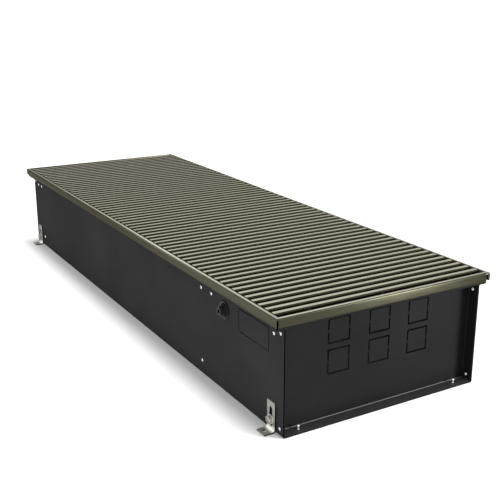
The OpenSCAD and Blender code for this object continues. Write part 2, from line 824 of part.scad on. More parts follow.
// A coil bracket: a holed plate at the end of the fins on two legs with floor flanges.
module coil_bracket(x, side) {
    leg = 20;
    flange = 14;
    top = coil_z + fin_h / 2;
    arch_h = coil_z - fin_h / 2 - sheet_t;
    difference() {
        translate([x, coil_y, sheet_t]) scale([side, 1, 1]) rotate([90, 0, 0])
            linear_extrude(fin_w, center = true) angle_section(flange, top - sheet_t);
        for (y = tube_ys, z = tube_zs)
            across(x - cut, 2 * cut) translate([y, z]) circle(tube_r + rivet_play);
        translate([x - flange - cut, coil_y - fin_w / 2 + leg, 0])
            cube([2 * (flange + cut), fin_w - 2 * leg, arch_h]);
    }
}

module coil_bracket_right() {
    color("#b9bcbe") coil_bracket(fin_x0 + (fin_n - 1) * fin_pitch + fin_t, 1);
}

module coil_bracket_left() {
    color("#b9bcbe") coil_bracket(fin_x0, -1);
}

// A brass fitting: a sleeve over the tube's end and a hexagon with the pipe thread.
module pipe_fitting(y) {
    seat = 3;
    sleeve_r = tube_r + 2.5;
    hex_l = seat + thread_l;
    translate([tube_x1, y, tube_z]) rotate([0, 90, 0]) difference() {
        union() {
            translate([0, 0, -fitting_sleeve_l]) cylinder(r = sleeve_r, h = fitting_sleeve_l + eps);
            cylinder(r = fitting_af / 2 / cos(30), h = hex_l, $fn = 6);
        }
        translate([0, 0, -fitting_sleeve_l - cut])
            cylinder(r = tube_r, h = fitting_sleeve_l + cut);
        translate([0, 0, -cut]) cylinder(r = tube_r - tube_wall, h = hex_l + cut);
        translate([0, 0, seat]) cylinder(r = thread_r, h = thread_l + cut);
    }
}

module flow_fitting() {
    color("#b79a57") pipe_fitting(tube_ys[0]);
}

module return_fitting() {
    color("#b79a57") pipe_fitting(tube_ys[1]);
}

vent_x = bulkhead_plate + vent_out;
vent_z = tube_z + tube_pitch_z + vent_h;

// The air vent's body sits as a saddle on the upper tube.
module vent_body() {
    collar_h = 5;
    color("#b79a57") difference() {
        union() {
            translate([vent_x, tube_ys[0], vent_z - vent_h]) cylinder(r = vent_r, h = vent_h);
            translate([vent_x, tube_ys[0], vent_z - 2 * collar_h])
                cylinder(r = vent_r + 2, h = collar_h, $fn = 6);
        }
        translate([vent_x - 2 * vent_r, tube_ys[0], vent_z - vent_h]) rotate([0, 90, 0])
            cylinder(r = tube_r, h = 4 * vent_r);
        translate([vent_x, tube_ys[0], vent_z - vent_screw_l])
            cylinder(r = vent_screw_r + running_play, h = vent_screw_l + cut);
    }
}

module vent_screw() {
    head_r = vent_r - 1.5;
    head_h = 3;
    lift = 0.3;
    slot = 1;
    color("#d8d2c0") translate([vent_x, tube_ys[0], vent_z]) difference() {
        union() {
            translate([0, 0, lift - vent_screw_l]) cylinder(r = vent_screw_r, h = vent_screw_l);
            translate([0, 0, lift]) cylinder(r = head_r, h = head_h);
        }
        translate([-head_r - cut, -slot / 2, lift + head_h / 2])
            cube([2 * (head_r + cut), slot, head_h]);
    }
}

// ---------- cross-flow fan ----------

scroll_from = 110;
scroll_to = 270;
scroll_steps = 20;
outlet_floor_z = fan_z - impeller_r - scroll_gap - scroll_growth;
coil_edge_y = coil_y - fin_w / 2 - 1.5;
coil_low_z = coil_z - fin_h / 2;
coil_high_z = coil_z + fin_h / 2;

// A point of the scroll sheet's inner (out = 0) or outer (out = sheet_t) face.
function scroll_point(i, out) =
    let (a = scroll_from + (scroll_to - scroll_from) * i / scroll_steps)
    let (r = impeller_r + scroll_gap + scroll_growth * i / scroll_steps + out)
    [fan_y + r * cos(a), fan_z + r * sin(a)];

// The spiral sheet round the impeller, its floor, and its rise to the coil's lower edge.
module scroll_section() {
    inner = [for (i = [0 : scroll_steps]) scroll_point(i, 0)];
    outer = [for (i = [scroll_steps : -1 : 0]) scroll_point(i, sheet_t)];
    polygon(concat(inner, [[fan_y + scroll_out, outlet_floor_z], [coil_edge_y, coil_low_z],
        [coil_edge_y + sheet_t, coil_low_z - sheet_t],
        [fan_y + scroll_out + sheet_t / 2, outlet_floor_z - sheet_t]], outer));
}

// The sheet from the tongue beside the impeller up to the coil's top edge.
module tongue_section() {
    nose = 35;
    r = impeller_r + scroll_gap;
    y0 = fan_y + r * cos(nose);
    z0 = fan_z + r * sin(nose);
    nose_r = 1.6;
    polygon([[y0, z0], [coil_edge_y, coil_high_z], [coil_edge_y, coil_high_z + sheet_t],
        [y0 - sheet_t / 2, z0 + sheet_t]]);
    translate([y0 + nose_r, z0 + nose_r]) circle(nose_r);
}

module both_fans() {
    for (s = [-1, 1])
        translate([fan_mid, 0, 0]) scale([s, 1, 1]) children();
}

module fan_scroll() {
    l = outer_side_x - inner_side_x - sheet_t;
    color("#8f9294") both_fans() across(inner_side_x + sheet_t, l) {
        scroll_section();
        tongue_section();
    }
}

// Side plates of the fan housings, each folded at the floor away from its impeller.
module fan_side_plates() {
    bend = fold_r + sheet_t;
    back_r = impeller_r + scroll_gap + scroll_growth;
    out_w = coil_edge_y - sheet_t - fan_y;
    flange = 12;
    color("#8f9294") both_fans()
        for (p = [[inner_side_x, -1, shaft_r + 4], [outer_side_x, 1, rubber_r]])
            difference() {
                union() {
                    across(p[0], sheet_t) {
                        translate([fan_y, fan_z]) circle(back_r);
                        translate([fan_y, fan_z - back_r + eps])
                            square([out_w, coil_high_z - fan_z + back_r - eps]);
                        translate([fan_y - back_r / 2, sheet_t + bend - eps])
                            square([out_w, fan_z - sheet_t - bend]);
                    }
                    translate([p[0] + (p[1] < 0 ? sheet_t : 0), fan_y, sheet_t])
                        scale([p[1], 1, 1]) rotate([90, 0, 0])
                            linear_extrude(back_r, center = true)
                                angle_section(flange);
                }
                across(p[0] - cut, 2 * cut) translate([fan_y, fan_z]) circle(p[2]);
            }
}

// Rubber rings with a groove for the side plate, round the plain bearings.
module fan_rubber_rings() {
    lip_t = 2;
    lip_r = rubber_r + 2.5;
    color("#1b1b1c") both_fans()
        translate([outer_side_x, fan_y, fan_z]) rotate([0, 90, 0]) rotate_extrude()
            polygon([[bearing_r, -lip_t + side_gap / 3], [lip_r, -lip_t + side_gap / 3],
                [lip_r, 0], [rubber_r, 0], [rubber_r, sheet_t], [lip_r, sheet_t],
                [lip_r, sheet_t + lip_t], [bearing_r, sheet_t + lip_t]]);
}

module fan_bearings() {
    color("#a98a55") both_fans()
        translate([outer_side_x - sheet_t, fan_y, fan_z]) rotate([0, 90, 0]) difference() {
            cylinder(r = bearing_r, h = bearing_l);
            translate([0, 0, -cut]) cylinder(r = shaft_r + running_play, h = bearing_l + 2 * cut);
        }
}

module fan_motor() {
    boss_r = shaft_r + 7;
    boss_h = 2;
    chamfer = 3;
    half = motor_l / 2;
    color("#3a3c3f") translate([fan_mid, fan_y, fan_z]) rotate([0, 90, 0]) rotate_extrude()
        polygon([[shaft_r + running_play, -half], [boss_r, -half], [boss_r, boss_h - half],
            [motor_r - chamfer, boss_h - half], [motor_r, boss_h + chamfer - half],
            [motor_r, half - boss_h - chamfer], [motor_r - chamfer, half - boss_h],
            [boss_r, half - boss_h], [boss_r, half], [shaft_r + running_play, half]]);
}

// A band round the motor on two legs with floor feet.
module motor_bracket() {
    band_t = 1.5;
    band_w = 24;
    foot = 12;
    color("#8f9294") across(fan_mid - band_w / 2, band_w) {
        translate([fan_y, fan_z]) difference() {
            circle(motor_r + band_t);
            circle(motor_r);
        }
        for (s = [-1, 1])
            translate([fan_y, 0]) scale([s, 1]) {
                translate([motor_r, sheet_t]) square([band_t, fan_z - sheet_t]);
                translate([motor_r, sheet_t]) square([foot, band_t]);
            }
    }
}

module fan_shaft() {
    l = 2 * (outer_side_x + bearing_l);
    color("#c9cacc") translate([fan_mid, fan_y, fan_z]) rotate([0, 90, 0])
        cylinder(r = shaft_r, h = l, center = true);
}

// The ring of curved blades: each is an arc that starts along the impeller's radius and
// meets the rim at blade_angle.
module blade_section() {
    inner = impeller_r - blade_ring;
    arc_r = (impeller_r * impeller_r - inner * inner) / (2 * impeller_r * cos(blade_angle));
    for (i = [0 : blade_n - 1])
        rotate(i * 360 / blade_n) intersection() {
            translate([sqrt(inner * inner + arc_r * arc_r), 0]) difference() {
                circle(arc_r + blade_t / 2);
                circle(arc_r - blade_t / 2);
            }
            difference() {
                circle(impeller_r);
                circle(inner);
            }
            square(impeller_r);
        }
}

// A cross-flow impeller from x = 0: end discs with hubs, rings between, and the blades.
module impeller() {
    rim_r = impeller_r + 0.4;
    ring_r = impeller_r - blade_ring - 1;
    hub_r = shaft_r + 4;
    hub_l = 12;
    pitch = (impeller_l - disc_t) / (disc_n - 1);
    rotate([90, 0, 90]) difference() {
        union() {
            linear_extrude(impeller_l) blade_section();
            for (i = [0 : disc_n - 1])
                translate([0, 0, i * pitch]) difference() {
                    cylinder(r = rim_r, h = disc_t);
                    if (i > 0 && i < disc_n - 1)
                        translate([0, 0, -cut]) cylinder(r = ring_r, h = disc_t + 2 * cut);
                }
            for (z = [0, impeller_l - hub_l])
                translate([0, 0, z]) cylinder(r = hub_r, h = hub_l);
        }
        translate([0, 0, -cut]) cylinder(r = shaft_r, h = impeller_l + 2 * cut);
    }
}

module impeller_right() {
    color("#2a2b2d") translate([fan_mid + impeller_x, fan_y, fan_z]) impeller();
}

module impeller_left() {
    color("#2a2b2d") translate([fan_mid - impeller_x, fan_y, fan_z]) mirror([1, 0, 0]) impeller();
}

// ---------- control box ----------

post_r = 4.5;
post_in = box_wall + post_r - 1;
post_bore_r = 1.5;
post_xs = [post_in, box_l - post_in];
post_ys = [post_in, box_w - post_in];

module control_box() {
    color("#2f3133") translate([box_x0, box_y0, box_z0]) difference() {
        union() {
            difference() {
                cube([box_l, box_w, box_h]);
                translate([box_wall, box_wall, box_wall])
                    cube([box_l - 2 * box_wall, box_w - 2 * box_wall, box_h]);
            }
            for (x = post_xs, y = post_ys)
                translate([x, y, box_wall - eps]) cylinder(r = post_r, h = box_h - box_wall + eps);
        }
        for (x = post_xs, y = post_ys)
            translate([x, y, box_h / 2]) cylinder(r = post_bore_r, h = box_h);
        // cable holes in the long wall
        for (i = [1 : 3])
            translate([i * box_l / 4, box_w - box_wall - cut, box_h * 0.6]) rotate([-90, 0, 0])
                cylinder(r = 5, h = box_wall + 2 * cut);
    }
}

module control_box_lid() {
    lip = 2;
    lip_h = 4;
    inset = box_wall + lid_play;
    keep = post_in + post_r + 1;
    color("#37393c") translate([box_x0, box_y0, box_z0 + box_h]) difference() {
        union() {
            cube([box_l, box_w, lid_t]);
            for (y = [inset, box_w - inset - lip])
                translate([keep, y, -lip_h]) cube([box_l - 2 * keep, lip, lip_h + eps]);
            for (x = [inset, box_l - inset - lip])
                translate([x, keep, -lip_h]) cube([lip, box_w - 2 * keep, lip_h + eps]);
        }
        for (x = post_xs, y = post_ys)
            translate([x, y, -cut]) cylinder(r = post_bore_r + 0.2, h = lid_t + 2 * cut);
    }
}

module lid_screws() {
    shank_l = 14;
    head_h = 2.2;
    head_r = 3;
    color("#c9cacc") translate([box_x0, box_y0, box_z0 + box_h + lid_t])
        for (x = post_xs, y = post_ys)
            translate([x, y, 0]) difference() {
                union() {
                    translate([0, 0, -shank_l])
                        cylinder(r = post_bore_r - 0.1, h = shank_l + eps);
                    cylinder(r = head_r, h = head_h);
                }
                translate([0, 0, head_h / 2]) cylinder(r = 1.6, h = head_h, $fn = 6);
            }
}

// A row of screw terminals on the floor of the box.
module terminal_block() {
    l = terminal_n * terminal_pitch;
    w = 22;
    h = 18;
    step_h = 11;
    step_w = 6;
    color("#d9d7cf") translate([box_x0 + (box_l - l) / 2, box_y0 + (box_w - w) / 2,
        box_z0 + box_wall]) difference() {
        across(0, l)
            polygon([[0, 0], [w, 0], [w, step_h], [w - step_w, h], [step_w, h], [0, step_h]]);
        for (i = [0 : terminal_n - 1]) {
            translate([(i + 0.5) * terminal_pitch, w / 2, step_h]) cylinder(r = 2.6, h = h);
            for (y = [-cut, w - step_w])
                translate([(i + 0.5) * terminal_pitch, y, step_h / 2]) rotate([-90, 0, 0])
                    cylinder(r = 2.2, h = step_w + cut);
        }
    }
}

// The earthing stud beside the box, with its washer and nut.
module earth_stud() {
    stud_r = 2.5;
    stud_h = 14;
    past_box = 20;
    past_edge = 24;
    collar_r = 5;
    collar_h = 1;
    nut_af = 8;
    nut_h = 4;
    color("#c8b06a")
        translate([box_x0 + box_l + past_box, box_y0 + past_edge, sheet_t]) {
            cylinder(r = stud_r, h = stud_h);
            cylinder(r = collar_r, h = collar_h);
            translate([0, 0, collar_h - eps])
                cylinder(r = nut_af / 2 / cos(30), h = nut_h, $fn = 6);
        }
}

// ---------- feet ----------

// A slotted levelling foot for the front wall at x, its flat plate turned outwards.
module foot(x) {
    difference() {
        translate([x, -side_y - foot_play, 0]) rotate([90, 0, -90])
            linear_extrude(foot_w, center = true)
                angle_section(foot_reach - foot_play, foot_h, foot_t, foot_bend_r);
        along(-side_y - foot_play - foot_t - cut, foot_t + 2 * cut)
            translate([x, 0]) slot_shape(foot_slot_r, foot_slot_z0, foot_slot_z1);
        translate([x, -side_y - foot_hole_out, -cut]) cylinder(r = foot_hole_r, h = foot_t + 2 * cut);
    }
}

module foot_front_right() {
    color("#a5a49d") foot(foot_xs[0]);
}

module foot_front_left() {
    color("#a5a49d") foot(foot_xs[1]);
}

module foot_back_right() {
    color("#a5a49d") mirror([0, 1, 0]) foot(foot_xs[0]);
}

module foot_back_left() {
    color("#a5a49d") mirror([0, 1, 0]) foot(foot_xs[1]);
}

foot_face_y = side_y + 2 * foot_play + foot_t;

// Places children at the four feet with z pointing out of the wall, from y = out.
module at_feet(out) {
    for (x = foot_xs, s = [-1, 1])
        scale([1, s, 1]) translate([x, out, foot_bolt_z]) rotate([-90, 0, 0]) children();
}

module foot_bolts() {
    color("#bdbcb6") at_feet(foot_face_y + washer_t) {
        translate([0, 0, -bolt_l]) cylinder(r = bolt_r, h = bolt_l + eps);
        rotate(30) cylinder(r = bolt_af / 2 / cos(30), h = bolt_head_h, $fn = 6);
    }
}

module foot_washers() {
    color("#b4b3ad") at_feet(foot_face_y) difference() {
        cylinder(r = washer_r, h = washer_t);
        translate([0, 0, -cut]) cylinder(r = bolt_r + rivet_play, h = washer_t + 2 * cut);
    }
}

module rivet_nuts() {
    bulge = 1.2;
    bulge_l = 4;
    color("#9c9d9f") at_feet(inner_y) difference() {
        union() {
            translate([0, 0, -rivet_nut_l]) cylinder(r = rivet_nut_r, h = rivet_nut_l + sheet_t);
            translate([0, 0, -bulge_l]) cylinder(r = rivet_nut_r + bulge, h = bulge_l);
        }
        translate([0, 0, -rivet_nut_l - cut])
            cylinder(r = bolt_r + rivet_play, h = rivet_nut_l + sheet_t + 2 * cut);
    }
}

trough();
end_plate_right();
end_plate_left();
corner_stiffeners();
connection_bulkhead();
far_bulkhead();
casing_rivets();
frame_front();
frame_back();
frame_right();
frame_left();
frame_corner_keys();
grille_buffers();
grille_slats();
grille_springs();
grille_spacers();
cable_grommet();
coil_fins();
coil_tubes();
coil_bends();
coil_bracket_right();
coil_bracket_left();
flow_fitting();
return_fitting();
vent_body();
vent_screw();
fan_scroll();
fan_side_plates();
fan_rubber_rings();
fan_bearings();
fan_motor();
motor_bracket();
fan_shaft();
impeller_right();
impeller_left();
control_box();
control_box_lid();
lid_screws();
terminal_block();
earth_stud();
foot_front_right();
foot_front_left();
foot_back_right();
foot_back_left();
foot_bolts();
foot_washers();
rivet_nuts();
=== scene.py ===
import math

import bmesh
import bpy
from mathutils import Matrix, Vector


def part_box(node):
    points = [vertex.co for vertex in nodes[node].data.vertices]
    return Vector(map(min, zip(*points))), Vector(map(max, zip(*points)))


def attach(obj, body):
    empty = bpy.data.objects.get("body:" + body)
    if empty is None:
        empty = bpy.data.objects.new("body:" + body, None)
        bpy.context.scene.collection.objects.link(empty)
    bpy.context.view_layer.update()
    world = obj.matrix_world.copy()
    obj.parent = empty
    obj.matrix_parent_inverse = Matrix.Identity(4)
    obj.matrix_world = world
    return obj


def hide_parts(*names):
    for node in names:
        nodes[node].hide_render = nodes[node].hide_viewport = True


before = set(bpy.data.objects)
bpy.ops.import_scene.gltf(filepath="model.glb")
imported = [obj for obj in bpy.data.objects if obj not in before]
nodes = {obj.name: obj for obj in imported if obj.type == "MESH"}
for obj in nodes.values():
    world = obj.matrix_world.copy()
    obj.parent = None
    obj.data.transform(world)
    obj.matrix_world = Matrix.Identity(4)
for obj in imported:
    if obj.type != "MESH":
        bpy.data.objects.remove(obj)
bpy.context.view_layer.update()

# ---------------------------------------------------------------------------
# Trough: one sheet of 1 mm steel folded to a channel with a ledge and an upstand
# along both sides. Spray-painted matt black and baked, so the surface is even,
# with the faint orange peel of a sprayed coat.
# ---------------------------------------------------------------------------
mm = 0.001


def linear(colour):
    """An sRGB hex colour as the linear colour that a shader takes."""
    channels = [int(colour[i : i + 2], 16) / 255 for i in (1, 3, 5)]
    return [c / 12.92 if c <= 0.04045 else ((c + 0.055) / 1.055) ** 2.4 for c in channels] + [1]


def per(size_mm):
    """The texture scale at which one cell of a pattern measures size_mm."""
    return 1 / (size_mm * mm)


def add(tree, kind, inputs=None, into=None, **settings):
    """Adds a node. Each input is a value, or a socket to link; its result goes into a socket."""
    node = tree.nodes.new(kind)
    for name, value in settings.items():
        setattr(node, name, value)
    for name, value in (inputs or {}).items():
        if isinstance(value, bpy.types.NodeSocket):
            tree.links.new(value, node.inputs[name])
        else:
            node.inputs[name].default_value = value
    if into:
        tree.links.new(next(result for result in node.outputs if result.enabled), into)
    return node


def start(name, colour, metallic, roughness):
    """A new material: its node tree, its shader and the place on the object."""
    material = bpy.data.materials.new(name)
    material.use_nodes = True
    tree = material.node_tree
    shader = tree.nodes["Principled BSDF"]
    shader.inputs["Base Color"].default_value = linear(colour)
    shader.inputs["Metallic"].default_value = metallic
    shader.inputs["Roughness"].default_value = roughness
    place = add(tree, "ShaderNodeTexCoord").outputs["Object"]
    return material, tree, shader, place


def patchy(name, dark, light, metallic, roughness, patch_mm, detail=3.0, stretch=None):
    """A material whose colour and roughness each run between two values over patches of
    patch_mm, which stretch draws out along an axis. Where the two are the same, the shader's
    own socket holds it. The last result is the patches."""
    material, tree, shader, place = start(name, dark, metallic, roughness[0])
    if stretch:
        place = add(tree, "ShaderNodeMapping", {"Vector": place, "Scale": stretch}).outputs[0]
    pattern = {"Vector": place, "Scale": per(patch_mm), "Detail": detail}
    patches = add(tree, "ShaderNodeTexNoise", pattern).outputs["Fac"]
    if dark != light:
        shades = {0: patches, 6: linear(dark), 7: linear(light)}
        add(tree, "ShaderNodeMix", shades, shader.inputs["Base Color"], data_type="RGBA")
    if roughness[0] != roughness[1]:
        gloss = {"Value": patches, "To Min": roughness[0], "To Max": roughness[1]}
        add(tree, "ShaderNodeMapRange", gloss, shader.inputs["Roughness"])
    return material, tree, shader, patches


def finish(material, *names):
    """Gives CAD nodes this material."""
    for name in names:
        mesh = nodes[name].data
        mesh.materials.clear()
        mesh.materials.append(material)


def black_enamel(name, dark, light, roughness, gloss):
    """Sprayed and baked black paint. A faint haze of 90 mm runs over it."""
    haze = (roughness - 0.05, roughness + 0.05)
    material, tree, shader, patches = patchy(name, dark, light, 0.0, haze, 90)
    shader.inputs["IOR"].default_value = 1.5
    # the matting agent in the paint scatters most of the gloss
    shader.inputs["Specular IOR Level"].default_value = gloss
    # orange peel of 1.5 mm, drawn at 2 mm so that it shows
    place = add(tree, "ShaderNodeTexCoord").outputs["Object"]
    peel = add(tree, "ShaderNodeTexNoise", {"Vector": place, "Scale": per(2), "Detail": 2.0})
    relief = {"Height": peel.outputs["Fac"], "Distance": 0.03 * mm, "Strength": 0.3}
    add(tree, "ShaderNodeBump", relief, shader.inputs["Normal"])
    return material


trough_enamel = black_enamel("trough_enamel", "#2e2e2e", "#3a3a3a", roughness=0.6, gloss=0.0)
# painted shade: the sheet's cut ends, and a millimetre beside them, are drawn near black, as the
# dark gap beside the end plates
tree = trough_enamel.node_tree
shader = tree.nodes["Principled BSDF"]
place = add(tree, "ShaderNodeTexCoord").outputs["Object"]
along = add(tree, "ShaderNodeSeparateXYZ", {"Vector": place}).outputs["X"]
along = add(tree, "ShaderNodeMath", {0: along}, operation="ABSOLUTE").outputs[0]
trough_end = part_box("trough")[1][0]
painted_shade_ends = {"Value": along, "From Min": trough_end - 1.2 * mm, "From Max": trough_end - 0.9 * mm}
painted_shade_ends = add(tree, "ShaderNodeMapRange", painted_shade_ends).outputs["Result"]
painted = shader.inputs["Base Color"].links[0].from_socket
coat = {0: painted_shade_ends, 6: painted, 7: linear("#050505")}
add(tree, "ShaderNodeMix", coat, shader.inputs["Base Color"], data_type="RGBA")
finish(trough_enamel, "trough")

# ---------------------------------------------------------------------------
# End plates: steel trays set back between the walls, with six square knock-outs
# each, laser cut but for two small tabs. The same baked paint as the trough, in darker shades:
# painted shade.
# ---------------------------------------------------------------------------
# the trough's paint drawn darker, darkest on the end plates themselves: painted shade
plate_enamel = black_enamel("plate_enamel", "#1c1c1d", "#262627", roughness=0.45, gloss=0.06)
finish(plate_enamel, "corner_stiffeners")

tray_enamel = black_enamel("tray_enamel", "#131313", "#1c1c1c", roughness=0.4, gloss=0.045)
tree = tray_enamel.node_tree
shader = tree.nodes["Principled BSDF"]
coordinates = add(tree, "ShaderNodeTexCoord").outputs
facing = add(tree, "ShaderNodeSeparateXYZ", {"Vector": coordinates["Normal"]}).outputs["Z"]
spot = add(tree, "ShaderNodeSeparateXYZ", {"Vector": coordinates["Object"]}).outputs

# painted light on the floor flange, which faces up, and a painted highlight on the folds, which
# slope
painted_light_up = {"Value": facing, "From Min": 0.85, "From Max": 0.98}
painted_light_up = add(tree, "ShaderNodeMapRange", painted_light_up).outputs["Result"]
painted_fold_highlight = add(tree, "ShaderNodeMath", {0: facing, 1: 0.6, 2: 0.25}, operation="COMPARE").outputs[0]
painted = shader.inputs["Base Color"].links[0].from_socket
lit_flange_colour = {0: painted_light_up, 6: painted, 7: linear("#2e2e2f")}
lit_flange_colour = add(tree, "ShaderNodeMix", lit_flange_colour, data_type="RGBA").outputs[2]
highlit_fold_colour = {0: painted_fold_highlight, 6: lit_flange_colour, 7: linear("#5c5c5c")}
highlit_fold_colour = add(tree, "ShaderNodeMix", highlit_fold_colour, data_type="RGBA").outputs[2]

# painted shade: the knock-outs' cuts and half a millimetre beside them are drawn near black, as
# dark slots, but for the tabs in the middle of each upright cut
knockout_size = 32 * mm
column_pitch = 64 * mm
row_pitch = 41.4 * mm
lower_row = 77.7 * mm
line_half_width = 1.3 * mm
tab_half_width = 1.8 * mm
column = {0: spot["Y"], 1: column_pitch / 2, 2: -column_pitch / 2}
column = add(tree, "ShaderNodeMath", column, operation="WRAP").outputs[0]
column = add(tree, "ShaderNodeMath", {0: column}, operation="ABSOLUTE").outputs[0]
row = add(tree, "ShaderNodeMath", {0: spot["Z"], 1: lower_row}, operation="SUBTRACT").outputs[0]
row = {0: row, 1: row_pitch / 2, 2: -row_pitch / 2}
row = add(tree, "ShaderNodeMath", row, operation="WRAP").outputs[0]
row = add(tree, "ShaderNodeMath", {0: row}, operation="ABSOLUTE").outputs[0]
outline = add(tree, "ShaderNodeMath", {0: column, 1: row}, operation="MAXIMUM").outputs[0]
outline = {0: outline, 1: knockout_size / 2, 2: line_half_width}
within_columns = {0: spot["Y"], 1: 0.0, 2: 1.5 * column_pitch}
within_rows = {0: spot["Z"], 1: lower_row + row_pitch / 2, 2: row_pitch}
painted_slit_shade = add(tree, "ShaderNodeMath", {0: row, 1: tab_half_width}, operation="GREATER_THAN").outputs[0]
for limits in (outline, within_columns, within_rows):
    inside = add(tree, "ShaderNodeMath", limits, operation="COMPARE").outputs[0]
    painted_slit_shade = add(tree, "ShaderNodeMath", {0: painted_slit_shade, 1: inside}, operation="MULTIPLY").outputs[0]
coat = {0: painted_slit_shade, 6: highlit_fold_colour, 7: linear("#040404")}
add(tree, "ShaderNodeMix", coat, shader.inputs["Base Color"], data_type="RGBA")
finish(tray_enamel, "end_plate_right", "end_plate_left")

# ---------------------------------------------------------------------------
# Bulkheads, coil brackets and fan sheets: hot-dip galvanised steel, folded and
# left unpainted. Its zinc freezes in spangles, each with its own grey and gloss.
# ---------------------------------------------------------------------------
galvanised, tree, shader, place = start("galvanised_sheet", "#8d9093", 1.0, 0.42)
# spangles of 8 to 12 mm
spangle = {"Vector": place, "Scale": per(10), "Randomness": 1.0}
spangle = add(tree, "ShaderNodeTexVoronoi", spangle).outputs["Color"]
greys = {0: spangle, 6: linear("#777a7e"), 7: linear("#9da1a5")}
add(tree, "ShaderNodeMix", greys, shader.inputs["Base Color"], data_type="RGBA")
gloss = {"Value": spangle, "To Min": 0.32, "To Max": 0.52}
add(tree, "ShaderNodeMapRange", gloss, shader.inputs["Roughness"])
finish(galvanised, "connection_bulkhead", "far_bulkhead", "coil_bracket_right", "coil_bracket_left")
finish(galvanised, "fan_scroll", "fan_side_plates", "motor_bracket")

# ---------------------------------------------------------------------------
# Blind rivets: aluminium, with domed heads on the walls, each set by a steel pin
# whose end breaks off in a dimple. Those of the end plates' floor flanges are set
# from below, flush, so their long drawn-up tails stand on the flange.
# ---------------------------------------------------------------------------


def solids(name):
    """Lowest and highest corner of each solid of a CAD node."""
    mesh = bmesh.new()
    mesh.from_mesh(nodes[name].data)
    bmesh.ops.remove_doubles(mesh, verts=mesh.verts, dist=0.001 * mm)
    found = []
    seen = set()
    for first in mesh.verts:
        if first in seen:
            continue
        seen.add(first)
        group = [first]
        for vert in group:
            for edge in vert.link_edges:
                other = edge.other_vert(vert)
                if other not in seen:
                    seen.add(other)
                    group.append(other)
        low = Vector([min(v.co[k] for v in group) for k in range(3)])
        high = Vector([max(v.co[k] for v in group) for k in range(3)])
        found.append((low, high))
    mesh.free()
    return found


def turned(profile_mm, steps):
    """A closed shape turned round Z from (radius, height) points that start and end on it."""
    shape = bmesh.new()
    verts = [shape.verts.new((r * mm, 0, z * mm)) for r, z in profile_mm]
    edges = [shape.edges.new(pair) for pair in zip(verts, verts[1:])]
    bmesh.ops.spin(
        shape, geom=verts + edges, cent=(0, 0, 0), axis=(0, 0, 1),
        angle=2 * math.pi, steps=steps, use_merge=True,
    )
    bmesh.ops.remove_doubles(shape, verts=shape.verts, dist=0.001 * mm)
    bmesh.ops.recalc_face_normals(shape, faces=shape.faces)
    return shape


def on_wall(low, high, head_mm):
    """Places a fastener where a solid is: its Z points out of the long wall, its head's seat
    is at 0, and the head ends where the solid does."""
    centre = (low + high) / 2
    side = 1 if centre.y > 0 else -1
    out = max(abs(low.y), abs(high.y)) - head_mm * mm
    seat = Matrix.Translation((centre.x, side * out, centre.z))
    return seat @ Matrix.Rotation(-side * math.pi / 2, 4, "X")


def gather(target, shape, placing):
    """Adds a copy of shape to target, moved by the matrix placing."""
    copy = bpy.data.meshes.new("copy")
    shape.to_mesh(copy)
    copy.transform(placing)
    target.from_mesh(copy)
    bpy.data.meshes.remove(copy)


def make(name, shape, materials, body):
    """Turns a finished bmesh into an object that rides on a body."""
    mesh = bpy.data.meshes.new(name)
    shape.to_mesh(mesh)
    shape.free()
    for material in materials:
        mesh.materials.append(material)
    mesh.polygons.foreach_set("use_smooth", [True] * len(mesh.polygons))
    piece = bpy.data.objects.new(name, mesh)
    bpy.context.scene.collection.objects.link(piece)
    mesh.set_sharp_from_angle(angle=math.radians(35))
    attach(piece, body)
    return piece


# bright pressed heads, duller drawn tails, and pins tarnished where they broke
rivet_alloy = patchy("rivet_aluminium", "#c8c9cb", "#c8c9cb", 1.0, (0.1, 0.22), 1.5)[0]
tail_alloy = patchy("drawn_rivet_aluminium", "#dcdddd", "#dcdddd", 0.7, (0.3, 0.5), 1, 2.0)[0]
pin_steel = patchy("rivet_pin_steel", "#5c5b59", "#5c5b59", 1.0, (0.35, 0.6), 0.8, 2.0)[0]

# profiles in mm, from the lower end to the upper one
body_r = 1.6
head_r = 2.6
head_h = 1.4
rim_h = 0.15
pin_r = 0.8
tail = [(0, -4.6), (1, -4.45), (1.7, -4), (2.1, -3.3), (2.1, -2.6), (body_r, -2), (body_r, 0)]
slopes = (0, 0.25, 0.5, 0.75, 1.0, 1.2)
dome = [(head_r * math.cos(a), rim_h + (head_h - rim_h) * math.sin(a)) for a in slopes]
dimple = [(pin_r, head_h), (0.75, 0.8), (0.5, 0.7), (0, 0.7)]
rivet = turned(tail + [(head_r, 0)] + dome + dimple, 24)
on_head, on_pin, on_tail = range(3)
for face in rivet.faces:
    middle = face.calc_center_median()
    in_dimple = middle.xy.length < pin_r * mm
    face.material_index = on_tail if middle.z < 0 else on_pin if in_dimple else on_head
flush_head = [(0, 0), (body_r, 0), (body_r, 1), (2.2, 1.05), (2.2, 1.7)]
drawn_tail = [(1.3, 2.3), (1.15, 5), (1.5, 5.8), (body_r, 6.8), (1.2, 7.7), (0.6, 8), (0, 8)]
floor_rivet = turned(flush_head + drawn_tail, 20)
for face in floor_rivet.faces:
    face.material_index = on_tail
rivets = bmesh.new()
for low, high in solids("casing_rivets"):
    through_floor = low.z < 3 * mm
    if through_floor:
        gather(rivets, floor_rivet, Matrix.Translation(((low + high) / 2).xy.to_3d()))
    else:
        gather(rivets, rivet, on_wall(low, high, head_h))
floor_rivet.free()
rivet.free()
blind_rivets = make("blind_rivets", rivets, [rivet_alloy, pin_steel, tail_alloy], "casing")
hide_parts("casing_rivets")

# ---------------------------------------------------------------------------
# Edge frame: four lengths of extruded aluminium, mitred at the corners. Anodised
# in a light bronze: satin, with the fine drawing lines of the die along each
# length, and edges broken by a third of a millimetre. Zinc keys join the mitres.
# ---------------------------------------------------------------------------


